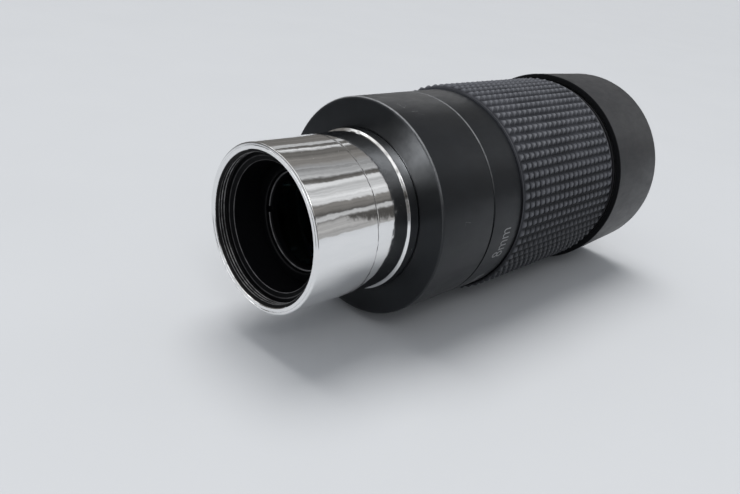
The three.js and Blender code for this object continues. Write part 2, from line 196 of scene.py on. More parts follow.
def bump(height, strength, depth, under=None):
    """depth in metres; `under` is a normal that is already bumped"""
    inputs = {"Strength": strength, "Distance": depth, "Height": height}
    if under is not None:
        inputs["Normal"] = under
    return signal(height.tree, "Bump", inputs)


def principled(tree, **inputs):
    return signal(tree, "BsdfPrincipled", {k.replace("_", " "): v for k, v in inputs.items()})


def radial_tangent(tree):
    return signal(tree, "Tangent", {}, direction_type="RADIAL", axis="Y")


def turned_lines(r, y, scale):
    """lathe marks: the same on end faces (by radius) and on cylinders (by length)"""
    return noise(combine(r, y, 0.0), scale=scale, detail=4.0, rough=0.65)


def stroke(around, y, start, end, width):
    """1 on a straight stroke between two (length round, y) points in mm, 0 away from it"""
    run_s, run_y = end[0] - start[0], end[1] - start[1]
    from_s = around - start[0]
    from_y = y - start[1]
    share = math_node(y.tree, "DIVIDE", from_s * run_s + from_y * run_y,
                      run_s * run_s + run_y * run_y, clamp=True)
    away = distance(from_s - share * run_s, from_y - share * run_y)
    return away.fit(over=(width * 0.3, width), to=(1.0, 0.0))


def new_material(name):
    """the material and its object position in mm"""
    material = bpy.data.materials.new(name)
    material.use_nodes = True
    tree = material.node_tree
    tree.nodes.clear()
    return material, scaled(signal(tree, "TexCoord", {}, "Object"), 1000.0)


def finish_material(material, shader):
    add_node(material.node_tree, "OutputMaterial", {0: shader})
    return material


# ------------------------------------------------------------------ materials
def chrome_material():
    material, vec = new_material("chrome_plate")
    x, y, z = split(vec)
    r = distance(x, z)
    waves = noise(vec, scale=0.35, detail=2.0)
    smear = noise(combine(x, y * 0.25, z), scale=0.9, detail=4.0, rough=0.6)
    fine = noise(combine(r * 6.0, y * 6.0, 0.0), scale=5.0, rough=0.6)
    rough = smear.fit(over=(0.42, 0.75), to=(0.035, 0.10)) + fine * 0.02
    normal = bump(fine, strength=0.05, depth=0.00001,
                  under=bump(waves, strength=0.25, depth=0.00012))
    color = mix(smear, (0.80, 0.805, 0.815), (0.90, 0.90, 0.895))
    # fine wandering ring left by a clamp, and a few dried spots
    wander = (noise(combine(x, 0.0, z), scale=0.16, detail=4.0, rough=0.7) - 0.5) * 1.1
    from_ring = abs((y + wander) - (MOUTH_MM + 14.2))
    patches = noise(vec, scale=0.8, rough=0.6).fit(over=(0.38, 0.55), to=(0.25, 0.95))
    ring = from_ring.fit(over=(0.05, 0.14), to=(1.0, 0.0)) * patches
    ring = ring * r.fit(over=(15.7, 15.8))
    spots = (noise(vec, scale=3.1, detail=2.0).fit(over=(0.73, 0.76))
             * noise(vec, scale=0.22, detail=2.0).fit(over=(0.52, 0.58)))
    color = mix(ring, color, (0.13, 0.125, 0.13))
    rough = rough + maximum(ring, spots) * 0.28
    plate = principled(vec.tree, Base_Color=color, Metallic=1.0, Roughness=rough, Normal=normal)
    # flat black inside the mouth, behind the bright rim; the thread crests are worn
    edge = r + noise(vec, scale=2.2) * 0.05
    inside = edge.fit(over=(14.52, 14.60), to=(1.0, 0.0))
    black_rough = noise(vec, scale=1.5, detail=4.0).fit(over=(0.3, 0.7), to=(0.34, 0.46))
    crest = (r.fit(over=(14.00, 14.10), to=(1.0, 0.0))
             * noise(vec, scale=0.9, detail=4.0).fit(over=(0.35, 0.6), to=(0.35, 1.0)))
    black = principled(vec.tree, Metallic=crest * 0.6, Roughness=black_rough,
                       Base_Color=mix(crest, (0.0035, 0.0035, 0.004), (0.27, 0.268, 0.27)),
                       Specular_IOR_Level=0.15)
    return finish_material(material, mix_shader(inside, plate, black))


def black_material(name, rough=(0.36, 0.44), aniso=0.2, worn=None, face=None, marks=(),
                   painted_seam_shade=None):
    """satin anodising

    worn   (start y, end y, amount) of a bevel rubbed paler; painted highlight: the paleness fades out below the top
    face   radius inside which the turning marks of an end face show
    marks  scuffs ((phi, u), (phi, u), width, amount), phi in degrees
    painted_seam_shade  (start y, end y) of a seam painted near black on its lower half: painted
    shade
    """
    material, vec = new_material(name)
    x, y, z = split(vec)
    r = distance(x, z)
    lines = turned_lines(r, y, scale=7.0)
    grain = noise(vec, scale=9.0, rough=0.6)
    cloud = noise(vec, scale=0.18, detail=4.0, rough=0.6)
    smudge = noise(combine(x, y * 0.4, z), scale=0.5, detail=5.0, rough=0.65)
    roughness = smudge.fit(over=(0.35, 0.70), to=rough) + (lines - 0.5) * 0.10
    color = mix(cloud.fit(over=(0.35, 0.7)), (0.0060, 0.0067, 0.0080), (0.0086, 0.0095, 0.0115))
    if worn:
        start, end, amount = worn
        # painted highlight: the rubbed bevel is pale only on top, where the light falls on it
        painted_highlight_top = z.fit(over=(7.0, 17.0), to=(0.05, 1.0))
        patches = noise(vec, scale=0.7, detail=4.0, rough=0.6)
        rubbed_and_lit_bevel = (y.fit(over=(start, start + 0.04))
                * y.fit(over=(end - 0.05, end), to=(1.0, 0.0)))
        rubbed_and_lit_bevel = rubbed_and_lit_bevel * (painted_highlight_top * patches.fit(over=(0.35, 0.6), to=(0.6 * amount, amount)))
        rubbed_and_lit_bevel = rubbed_and_lit_bevel * r.fit(over=(21.9, 21.97))
        color = mix(rubbed_and_lit_bevel, color, (0.24, 0.243, 0.25))
    if marks:
        around = arctan2(z, x) * MARK_RADIUS
        on_side = r.fit(over=(22.2, 22.28))
        for *ends, width, amount in marks:
            start, end = [(math.radians(phi) * MARK_RADIUS, MOUTH_MM + u) for phi, u in ends]
            scuff = stroke(around, y, start, end, width)
            patches = noise(vec, scale=2.5, rough=0.6)
            scuff = scuff * (on_side * patches.fit(over=(0.40, 0.55), to=(0.2 * amount, amount)))
            color = mix(scuff, color, (0.16, 0.16, 0.165))
    normal = bump(grain, strength=0.06, depth=0.00002,
                  under=bump(lines, strength=0.10, depth=0.00003))
    specular = 0.34
    if painted_seam_shade:
        # painted shade: the seam is painted near black and less glossy on its lower half, where
        # it lies in shade
        start, end = painted_seam_shade
        seam_shade = (y.fit(over=(start, start + 0.02))
                * y.fit(over=(end - 0.06, end), to=(1.0, 0.0)))
        seam_shade = seam_shade * z.fit(over=(1.0, 6.0), to=(0.92, 0.0))
        color = mix(seam_shade, color, (0.0012, 0.0013, 0.0015))
        specular = (1.0 - seam_shade) * specular
    if face:
        on_face = r.fit(over=(face - 0.3, face), to=(1.0, 0.0))
        aniso = on_face.fit(over=(0.0, 1.0), to=(aniso, 0.90))
        specular = on_face.fit(over=(0.0, 1.0), to=(specular, 0.27))
        roughness = roughness - on_face * 0.055
    return finish_material(material, principled(
        vec.tree, Base_Color=color, Metallic=0.0, Roughness=roughness, Normal=normal,
        Anisotropic=aniso, Anisotropic_Rotation=0.25, Tangent=radial_tangent(vec.tree),
        Specular_IOR_Level=specular, Specular_Tint=(0.91, 0.96, 1.0)))


def baffle_material(name, rough, edges):
    """dull black; edges are corners worn bare, (r, u, width, amount)"""
    material, vec = new_material(name)
    x, y, z = split(vec)
    r = distance(x, z)
    lines = turned_lines(r, y, scale=4.0)
    cloud = noise(vec, scale=1.2, detail=4.0, rough=0.6)
    dust = noise(vec, scale=6.0, detail=2.0).fit(over=(0.74, 0.80), to=(0.0, 0.35))
    black = mix(cloud, (0.0022, 0.0023, 0.0028), (0.0042, 0.0044, 0.0052))
    color = mix(dust, black, (0.05, 0.05, 0.05))
    for edge_r, edge_u, width, amount in edges:
        away = abs(r - edge_r) + abs(y - (MOUTH_MM + edge_u))
        wear = (away.fit(over=(width * 0.5, width), to=(amount, 0.0))
                * noise(vec, scale=0.5, detail=4.0).fit(over=(0.35, 0.6), to=(0.45, 1.0)))
        color = mix(wear, color, (0.42, 0.41, 0.42))
    return finish_material(material, principled(
        vec.tree, Base_Color=color, Roughness=cloud.fit(over=(0.3, 0.7), to=rough),
        Normal=bump(lines, strength=0.15, depth=0.00004), Specular_IOR_Level=0.06))


def grip_material():
    """moulded rubber: valleys painted darker as shade; tips slightly polished and dusty"""
    material, vec = new_material("grip_rubber")
    x, y, z = split(vec)
    r = distance(x, z)
    grain = noise(vec, scale=5.5, detail=4.0, rough=0.6)
    cloud = noise(vec, scale=0.12, rough=0.6)
    # painted shade: the colour runs from dark in the valleys to lighter on the tips, partly as
    # wear on the tips
    tip = r.fit(over=(22.80, 23.25))
    color = mix(tip, (0.0080, 0.0088, 0.0110), (0.038, 0.0405, 0.0475))
    color = mix(cloud.fit(over=(0.4, 0.7), to=(0.0, 0.25)), color, (0.044, 0.046, 0.054))
    dust = noise(vec, scale=1.1, detail=5.0, rough=0.75).fit(over=(0.60, 0.78), to=(0.0, 0.4))
    color = mix(dust * tip, color, (0.10, 0.098, 0.095))
    rough = tip.fit(over=(0.0, 1.0), to=(0.60, 0.48)) + (grain - 0.5) * 0.16
    # painted shade: the end faces in the joints are painted dark and less glossy; the front one
    # is painted less dark on top, where more light falls
    front, rear = MOUTH_MM + grip_start, MOUTH_MM + grip_end
    ends = maximum(y.fit(over=(front + 0.03, front + 0.12), to=(1.0, 0.0)),
                   y.fit(over=(rear - 0.12, rear - 0.03)))
    ends = ends * r.fit(over=(22.50, 22.62), to=(1.0, 0.0))
    front_top_painted_light = z.fit(over=(5.0, 14.0)) * y.fit(over=(front + 1.0, front + 2.0), to=(1.0, 0.0))
    color = mix(ends, color, mix(front_top_painted_light, (0.0025, 0.0025, 0.003), (0.017, 0.018, 0.021)))
    specular = (tip.fit(over=(0.0, 1.0), to=(0.18, 0.55))
                * ends.fit(over=(0.0, 1.0), to=(1.0, 0.1)))
    return finish_material(material, principled(
        vec.tree, Base_Color=color, Roughness=rough, Specular_IOR_Level=specular,
        Normal=bump(grain, strength=0.12, depth=0.00006)))


def eyecup_material():
    """smooth matte rubber with a soft bloom, pale specks and smears in the roughness"""
    material, vec = new_material("eyecup_rubber")
    x, y, z = split(vec)
    grain = noise(vec, scale=12.0, rough=0.6)
    cloud = noise(vec, scale=0.10, detail=4.0, rough=0.6)
    smear = noise(combine(x, y * 0.5, z), scale=0.45, detail=6.0, rough=0.7)
    color = mix(cloud.fit(over=(0.35, 0.65)), (0.0185, 0.0192, 0.0216), (0.0233, 0.0241, 0.0272))
    specks = noise(vec, scale=3.4, detail=2.0).fit(over=(0.76, 0.80), to=(0.0, 0.35))
    color = mix(specks, color, (0.07, 0.07, 0.07))
    rough = smear.fit(over=(0.35, 0.7), to=(0.42, 0.56)) + (grain - 0.5) * 0.12
    front = MOUTH_MM + cup_start
    # painted shade: the front face, which faces into the gap by the grip, is painted darker and
    # less glossy
    shaded_front_face = y.fit(over=(front + 0.02, front + 0.10), to=(1.0, 0.0))
    color = mix(shaded_front_face, color, (0.0075, 0.008, 0.009))
    return finish_material(material, principled(
        vec.tree, Base_Color=color, Roughness=rough,
        Normal=bump(grain, strength=0.10, depth=0.00003),
        Specular_IOR_Level=shaded_front_face.fit(over=(0.0, 1.0), to=(0.45, 0.12)),
        Sheen_Weight=0.04, Sheen_Roughness=0.5))


def metal_material(name, dark, light, rough, lines_scale=6.0):
    material, vec = new_material(name)
    x, y, z = split(vec)
    lines = turned_lines(distance(x, z), y, scale=lines_scale)
    cloud = noise(vec, scale=0.8, detail=4.0, rough=0.6)
    roughness = cloud.fit(over=(0.3, 0.7), to=(rough - 0.05, rough + 0.08)) + lines * 0.06
    return finish_material(material, principled(
        vec.tree, Base_Color=mix(cloud, dark, light), Metallic=1.0, Roughness=roughness,
        Normal=bump(lines, strength=0.15, depth=0.00003), Anisotropic=0.5,
        Tangent=radial_tangent(vec.tree)))


def plastic_material(name, dark, light, rough):
    material, vec = new_material(name)
    grain = noise(vec, scale=7.0, rough=0.6)
    cloud = noise(vec, scale=0.5, rough=0.6)
    return finish_material(material, principled(
        vec.tree, Base_Color=mix(cloud, dark, light),
        Roughness=cloud.fit(over=(0.3, 0.7), to=(rough - 0.08, rough + 0.08)),
        Normal=bump(grain, strength=0.12, depth=0.00004)))


def glass_material(name, film):
    """film is the coating thickness in nanometres"""
    material, vec = new_material(name)
    dust = noise(vec, scale=4.0, rough=0.6).fit(over=(0.70, 0.80), to=(0.0, 0.06))
    haze = noise(vec, scale=0.4, detail=2.0).fit(over=(0.3, 0.7), to=(0.0, 0.015))
    return finish_material(material, principled(
        vec.tree, Base_Color=(0.93, 0.97, 0.96), Transmission_Weight=1.0, IOR=1.16,
        Roughness=dust + haze, Thin_Film_Thickness=film, Thin_Film_IOR=1.10))


def print_material():
    material, vec = new_material("scale_print_white")
    wear = noise(vec, scale=2.6, detail=5.0, rough=0.7)
    color = mix(wear.fit(over=(0.52, 0.68), to=(0.0, 0.45)),
                (0.30, 0.305, 0.31), (0.10, 0.102, 0.105))
    return finish_material(material, principled(
        vec.tree, Base_Color=color, Roughness=wear.fit(over=(0.3, 0.7), to=(0.5, 0.65)),
        Normal=bump(wear, strength=0.1, depth=0.00002)))


# scuffs on the body side: (phi, u), (phi, u), width, amount; degrees and mm
BODY_SCUFFS = (
    ((80.5, 28.0), (76.0, 28.2), 0.10, 0.9),
    ((76.2, 28.2), (78.0, 29.3), 0.07, 0.5),
    ((72.2, 28.6), (72.0, 30.3), 0.09, 0.8),
    ((70.0, 29.8), (68.6, 30.9), 0.06, 0.4),
    ((9.4, 31.2), (8.4, 32.7), 0.08, 0.45),
    ((9.4, 31.2), (7.2, 31.0), 0.06, 0.3),
)
# corners worn bare: r, u, width, amount; mm
LINER_EDGES = ((13.2, 2.40, 0.16, 0.20), (12.32, 2.88, 0.14, 0.38), (14.1, 2.40, 0.12, 0.12))
CELL_EDGES = ((9.62, field_ring_start, 0.20, 0.55), (10.12, cell_start + 0.1, 0.14, 0.22))

body_y = MOUTH_MM + body_start
zoom_y = MOUTH_MM + zoom_front
CHROME = chrome_material()
BODY = black_material("black_anodised_body", worn=(body_y + 0.01, body_y + 0.26, 1.0),
                      face=22.0, marks=BODY_SCUFFS)
RING = black_material("black_anodised_ring", worn=(zoom_y + 0.01, zoom_y + 0.24, 0.75),
                      painted_seam_shade=(zoom_y - 0.05, zoom_y + 0.22))
FLANGE = black_material("black_anodised_inner", rough=(0.5, 0.6), aniso=0.1)
BAFFLE = baffle_material("baffle_black", rough=(0.42, 0.62), edges=LINER_EDGES)
CELL = baffle_material("baffle_black_cell", rough=(0.34, 0.50), edges=CELL_EDGES)
GRIP = grip_material()
EYECUP = eyecup_material()
ALUMINIUM = metal_material("turned_aluminium", dark=(0.55, 0.56, 0.57),
                           light=(0.66, 0.67, 0.68), rough=0.30)
BRASS = metal_material("turned_brass", dark=(0.55, 0.42, 0.18),
                       light=(0.66, 0.53, 0.26), rough=0.28)
STEEL = metal_material("ground_steel", dark=(0.40, 0.41, 0.42),
                       light=(0.52, 0.53, 0.54), rough=0.26, lines_scale=9.0)
SLIP = plastic_material("slip_ring_plastic", dark=(0.62, 0.62, 0.59),
                        light=(0.74, 0.74, 0.71), rough=0.45)
CARRIER = plastic_material("carrier_plastic", dark=(0.014, 0.014, 0.016),
                           light=(0.024, 0.024, 0.027), rough=0.48)
GLASS_FRONT = glass_material("coated_glass_front", film=300.0)
GLASS_EYE = glass_material("coated_glass_eye", film=360.0)
PRINT = print_material()

SLOT_MATERIALS = {
    "chrome": CHROME, "black_metal": FLANGE, "baffle_black": BAFFLE,
    "raw_aluminium": ALUMINIUM, "brass": BRASS, "steel": STEEL, "grip_rubber": GRIP,
    "eyecup_rubber": EYECUP, "slip_plastic": SLIP, "carrier_plastic": CARRIER,
    "glass": GLASS_EYE}
node_slot = {sub["node"]: sub["material_slot"] for sub in frame["record"]["subparts"]}
node_body = {node: body for body, members in frame["record"]["behaviour"]["bodies"].items()
             for node in members}
for node, slot in node_slot.items():
    cad_mesh = nodes[node].data
    cad_mesh.materials.clear()
    cad_mesh.materials.append(SLOT_MATERIALS[slot])
    cad_mesh.shade_smooth()
    cad_mesh.set_sharp_from_angle(angle=math.radians(25))


# ------------------------------------------------------------------ mesh helpers
def rounded(points, steps=6):
    """points are (r, u) or (r, u, fillet); corners with a fillet become arcs"""
    outline = []
    for i, point in enumerate(points):
        fillet = point[2] if len(point) > 2 else 0.0
        corner = np.array(point[:2], float)
        if fillet <= 0:
            outline.append(tuple(corner))
            continue
        back = np.array(points[i - 1][:2], float) - corner
        ahead = np.array(points[(i + 1) % len(points)][:2], float) - corner
        back_length, ahead_length = np.linalg.norm(back), np.linalg.norm(ahead)
        back, ahead = back / back_length, ahead / ahead_length
        angle = math.acos(max(-1, min(1, float(back @ ahead))))
        if angle > math.pi - 0.02:                      # as good as straight
            outline.append(tuple(corner))
            continue
        trim = min(fillet / math.tan(angle / 2), back_length * 0.49, ahead_length * 0.49)
        radius = trim * math.tan(angle / 2)
        toward = (back + ahead) / np.linalg.norm(back + ahead)
        centre = corner + toward * (radius / math.sin(angle / 2))
        first, last = corner + back * trim - centre, corner + ahead * trim - centre
        start = math.atan2(first[1], first[0])
        turn = math.atan2(last[1], last[0]) - start
        turn = (turn + math.pi) % (2 * math.pi) - math.pi
        for k in range(steps + 1):
            a = start + turn * k / steps
            outline.append((centre[0] + radius * math.cos(a), centre[1] + radius * math.sin(a)))
    return outline


def on_axis_frame(phi, u, r):
    """the point at angle phi (radians), length u and radius r (mm), in metres"""
    return (r * math.cos(phi) * MM, MOUTH + u * MM, r * math.sin(phi) * MM)


def shade(mesh, sharp):
    mesh.shade_smooth()
    mesh.set_sharp_from_angle(angle=math.radians(sharp))


def add_object(name, mesh):
    obj = bpy.data.objects.new(name, mesh)
    bpy.context.scene.collection.objects.link(obj)
    return obj


def finish_mesh(name, mesh, material, body, sharp):
    bm = bmesh.new()
    bm.from_mesh(mesh)
    bmesh.ops.remove_doubles(bm, verts=bm.verts, dist=1e-7)
    bmesh.ops.recalc_face_normals(bm, faces=bm.faces)
    bm.to_mesh(mesh)
    bm.free()
    shade(mesh, sharp)
    obj = add_object(name, mesh)
    mesh.materials.append(material)
    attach(obj, body)
    return obj


def finish_piece(mesh, material, node, sharp):
    """finishes a mesh that stands in for a CAD node"""
    obj = finish_mesh(mesh.name, mesh, material, node_body[node], sharp)
    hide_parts(node)
    return obj


def finish_print(name, mesh, body, sharp):
    return finish_mesh(name, mesh, PRINT, body, sharp)


def lathe(node, suffix, profile, material, segments, shift=None, sharp=32):
    """revolves (r, u) points about the axis; shift(phi, r, u) may move the radius.

    A profile that starts on the axis stays open, any other is closed to a loop.
    """
    phis = np.arange(segments) * 2 * math.pi / segments
    verts, rows = [], []
    for r, u in np.array(profile, float):
        if r < 1e-6:
            rows.append([len(verts)] * segments)
            verts.append((0.0, MOUTH + u * MM, 0.0))
            continue
        radii = np.full(segments, r) if shift is None else r + shift(phis, r, u)
        rows.append(list(range(len(verts), len(verts) + segments)))
        verts.extend(zip(radii * np.cos(phis) * MM, np.full(segments, MOUTH + u * MM),
                         radii * np.sin(phis) * MM))
    faces = []
    for k in range(len(rows) if profile[0][0] > 1e-6 else len(rows) - 1):
        row, following = rows[k], rows[(k + 1) % len(rows)]
        for j in range(segments):
            j2 = (j + 1) % segments
            face = [row[j], row[j2], following[j2], following[j]]
            face = [v for i, v in enumerate(face) if v not in face[:i]]
            if len(face) >= 3:
                faces.append(face)
    mesh = bpy.data.meshes.new(f"{node}_{suffix}")
    mesh.from_pydata([tuple(map(float, v)) for v in verts], [], faces)
    return finish_piece(mesh, material, node, sharp)


def cut_slots(obj, radii, lengths, width, angles):
    """cuts boxes between two radii and two lengths (mm) at angles phi (degrees)"""
    bm = bmesh.new()
    centre = (sum(radii) / 2 * MM, MOUTH + sum(lengths) / 2 * MM, 0)
    size = ((radii[1] - radii[0]) * MM, (lengths[1] - lengths[0]) * MM, width * MM, 1)
    for angle in angles:
        turn = Matrix.Rotation(-math.radians(angle), 4, "Y")
        matrix = turn @ Matrix.Translation(centre) @ Matrix.Diagonal(size)
        bmesh.ops.create_cube(bm, size=1.0, matrix=matrix)
    mesh = bpy.data.meshes.new("cut")
    bm.to_mesh(mesh)
    bm.free()
    cutter = add_object("cut", mesh)
    boolean = obj.modifiers.new("cut", "BOOLEAN")
    boolean.operation = "DIFFERENCE"
    boolean.solver = "EXACT"
    boolean.object = cutter
    depsgraph = bpy.context.evaluated_depsgraph_get()
    result = bpy.data.meshes.new_from_object(obj.evaluated_get(depsgraph))
    obj.modifiers.clear()
    obj.data = result
    bpy.data.objects.remove(cutter)
    shade(result, sharp=32)


# All outlines below are (r, u) or (r, u, fillet) in mm.
# ------------------------------------------------------------------ nosepiece
def nosepiece_shift(phi, r, u):
    shift = np.zeros_like(phi)
    if abs(r - BORE_RADIUS) < 0.02 and 0.5 < u < 2.36:       # filter thread
        turn = (u / THREAD_PITCH - phi / (2 * math.pi)) % 1.0
        ridge = np.clip(np.minimum(turn, 1 - turn) * 2.6 - 0.15, 0, 1)
        fade = min(1.0, (u - 0.5) / 0.15, (2.36 - u) / 0.15)
        shift -= 0.30 * ridge * max(0.0, fade)
    if abs(r - TUBE_RADIUS) < 0.01 and 13.7 < u < 14.8:      # faint clamp mark round the tube
        centre = 14.22 + 0.07 * np.sin(3 * phi + 0.6) + 0.04 * np.sin(11 * phi)
        depth = 0.018 * (0.65 + 0.35 * np.sin(5 * phi + 1.0) * np.sin(2 * phi))
        shift -= depth * np.exp(-((u - centre) / 0.10) ** 2)
        shift += 0.008 * np.exp(-((u - centre - 0.22) / 0.10) ** 2)
    return shift


def build_nosepiece():
    _, end, _ = span("nosepiece_barrel")
    collar_end = end - 3.86
    outline = rounded([
        (BORE_RADIUS, 0.42, 0.05), (14.66, 0.0, 0.05), (15.20, 0.0), (15.28, 0.09),
        (15.36, 0.0), (TUBE_RADIUS, 0.0, 0.42), (TUBE_RADIUS, COLLAR_U, 0.06),
        (16.3, COLLAR_U + 0.28, 0.12), (16.3, collar_end, 0.06), (15.0, collar_end),
        (15.0, end), (BORE_RADIUS, end), (BORE_RADIUS, 2.42)])
    profile = []
    for point, following in zip(outline, outline[1:] + outline[:1]):
        profile.append(point)
        on_tube = all(abs(p[0] - TUBE_RADIUS) < 1e-6 for p in (point, following))
        if on_tube and point[1] < 14 < following[1]:         # close rows for the clamp mark
            lengths = [8.0, *np.arange(13.75, 14.80, 0.05), 18.0]
            profile += [(TUBE_RADIUS, u) for u in lengths]
    profile += [(BORE_RADIUS, u) for u in np.arange(2.38, 0.5, -0.04)]   # thread rows
    lathe("nosepiece_barrel", "shell", profile, CHROME, segments=288,
          shift=nosepiece_shift, sharp=40)


build_nosepiece()

start, end, radius = span("barrel_liner")
lathe("barrel_liner", "shell", rounded([
    (radius, start, 0.05), (radius, end), (12.3, end), (12.3, start + 0.5, 0.08),
    (13.2, start, 0.06)]), BAFFLE, segments=224)

# front carriage, seen inside the mouth
lathe("field_cell", "shell", rounded([
    (10.35, cell_start, 0.06), (12.1, cell_start, 0.18), (12.1, cell_start + 27.25),
    (13.2, cell_start + 27.25, 0.15), (13.2, cell_end, 0.15), (10.8, cell_end),
    (10.8, cell_start + 10.25), (9.3, cell_start + 10.25), (9.3, cell_start + 8.85),
    (10.1, cell_start + 8.85), (10.1, cell_start + 0.25, 0.05)]), CELL, segments=224)

field_ring = lathe("field_retaining_ring", "shell", rounded([
    (field_ring_radius, field_ring_start, 0.06), (field_ring_radius, field_ring_end),
    (9.3, field_ring_end), (9.3, field_ring_start + 0.35, 0.05),
    (9.62, field_ring_start, 0.05)]), CELL, segments=224)
cut_slots(field_ring, radii=(8.9, 10.6), width=1.3, angles=(185.6, 5.6),
          lengths=(field_ring_start - 0.4, field_ring_start + 0.8))


# ------------------------------------------------------------------ lenses
def lens_profile(node, radius, front_bulge, rear_bulge, steps=14):
    """bulges are the surfaces' signed heights along u"""
    start, end, _ = span(node)

    def surface(base, bulge):
        sphere = (radius * radius + bulge * bulge) / (2 * abs(bulge))
        radii = [radius * i / steps for i in range(steps + 1)]
        return [(r, base + math.copysign(sphere - math.sqrt(sphere * sphere - r ** 2), bulge))
                for r in radii]
    front = surface(start - min(0.0, front_bulge), front_bulge)
    return front + surface(end - max(0.0, rear_bulge), rear_bulge)[::-1]


# node, radius, front bulge, rear bulge, glass
LENSES = (
    ("field_lens_negative", 10.0, -1.3, 1.1, GLASS_FRONT),
    ("field_lens_positive", 10.0, 1.1, 0.2, GLASS_FRONT),
    ("middle_lens_front", 11.5, 1.5, -2.0, GLASS_EYE),
    ("middle_lens_rear", 11.5, -2.0, 0.4, GLASS_EYE),
    ("eye_lens_front", 11.9, 1.9, -2.6, GLASS_EYE),
    ("eye_lens_rear", 11.9, 2.4, -0.6, GLASS_EYE),
)
for node, radius, front_bulge, rear_bulge, glass in LENSES:
    lathe(node, "glass", lens_profile(node, radius, front_bulge, rear_bulge), glass,
          segments=128, sharp=40)

# ------------------------------------------------------------------ lower body
lathe("body_shell", "skin", rounded([
    (15.1, body_start + 0.25), (16.50, body_start + 0.25), (16.50, body_start, 0.08),
    (body_radius - 0.22, body_start, 0.04), (body_radius, body_start + 0.22, 0.06),
    (body_radius, body_end - 0.09, 0.04), (21.8, body_end - 0.09), (21.8, body_end),
    (20.0, body_end), (20.0, body_start + 4.4), (15.1, body_start + 4.4)]),
    BODY, segments=320, sharp=30)

# ------------------------------------------------------------------ zoom ring
start, end, _ = span("zoom_ring")
lathe("zoom_ring", "skin", rounded([
    (18.0, start), (19.75, start, 0.1), (19.75, zoom_front),
    (body_radius - 0.20, zoom_front, 0.04), (body_radius, zoom_front + 0.20, 0.05),
    (body_radius, grip_start - 0.02, 0.08), (21.8, grip_start - 0.02), (21.8, end, 0.10),
    (20.0, end), (20.0, zoom_front + 1.4), (18.0, zoom_front + 1.4)]),
    RING, segments=320, sharp=30)

# ------------------------------------------------------------------ rubber grip
GRIP_AROUND, GRIP_ALONG = 70, 19    # pyramids round the ring and along it
GRIP_PITCH = 1.938                  # along the axis, mm
GRIP_BASE = 22.72                   # radius of the valleys
GRIP_MARGIN = 23.16                 # radius of the plain rear margin
GRIP_INNER = 21.85
# cross-sections of a pyramid: (inset as a share of the cell, share of the full height)
PYRAMID_LEVELS = ((0.06, 0.0), (0.10, 0.06), (0.405, 0.90), (0.450, 0.98))


def grip_mesh():
    """closed sleeve whose outside is rows of small square pyramids"""
    first_u = grip_start + 0.24
    last_u = first_u + GRIP_ALONG * GRIP_PITCH
    phase = math.radians(1.2)
    step = 2 * math.pi / GRIP_AROUND
    height = grip_radius - GRIP_BASE
    verts, faces = [], []

    def add_vertex(phi, u, r):
        verts.append(on_axis_frame(phi, u, r))
        return len(verts) - 1

    def join(loop, following):
        for k in range(len(loop)):
            k2 = (k + 1) % len(loop)
            faces.append((loop[k], loop[k2], following[k2], following[k]))

    grid = [[add_vertex(phase + i * step, first_u + j * GRIP_PITCH, GRIP_BASE)
             for j in range(GRIP_ALONG + 1)] for i in range(GRIP_AROUND)]
    rng = np.random.default_rng(7)
    for i in range(GRIP_AROUND):
        for j in range(GRIP_ALONG):
            phi, u = phase + i * step, first_u + j * GRIP_PITCH
            i2 = (i + 1) % GRIP_AROUND
            loop = [grid[i][j], grid[i2][j], grid[i2][j + 1], grid[i][j + 1]]
            top = min(1.0 + float(rng.normal(0, 0.015)), 1.0)
            for inset, share in PYRAMID_LEVELS:
                r = GRIP_BASE + height * share * top
                far = 1 - inset
                corners = ((inset, inset), (far, inset), (far, far), (inset, far))
                inner = [add_vertex(phi + a * step, u + b * GRIP_PITCH, r) for a, b in corners]
                join(loop, inner)
                loop = inner
            apex = add_vertex(phi + step / 2, u + GRIP_PITCH / 2, GRIP_BASE + height * top)
            for k in range(4):
                faces.append((loop[k], loop[(k + 1) % 4], apex))
    # plain margins, end faces and bore: (r, u)
    sleeve = [(GRIP_BASE + 0.06, first_u - 0.08), (GRIP_BASE, grip_start + 0.05),
              (GRIP_BASE - 0.08, grip_start), (GRIP_INNER, grip_start),
              (GRIP_INNER, grip_end), (GRIP_MARGIN - 0.22, grip_end),
              (GRIP_MARGIN - 0.10, grip_end - 0.06), (GRIP_BASE + 0.10, last_u + 0.03)]
    rings = [[add_vertex(phase + i * step, u, r) for i in range(GRIP_AROUND)]
             for r, u in sleeve]
    chain = [[column[0] for column in grid], *rings, [column[-1] for column in grid]]
    for ring, following in zip(chain[:-1], chain[1:]):
        join(ring, following)
    mesh = bpy.data.meshes.new("rubber_grip_pyramids")
    mesh.from_pydata(verts, [], faces)
    return mesh


finish_piece(grip_mesh(), GRIP, "rubber_grip", sharp=30)

# ------------------------------------------------------------------ printed scale
TEXT_BASELINE = 47.05
TEXT_SIZE = 4.9
TEXT_SQUEEZE = 0.74                 # width of the letters against the font's
TEXT_SLICE = 0.3                    # the letters are sliced so that they bend smoothly


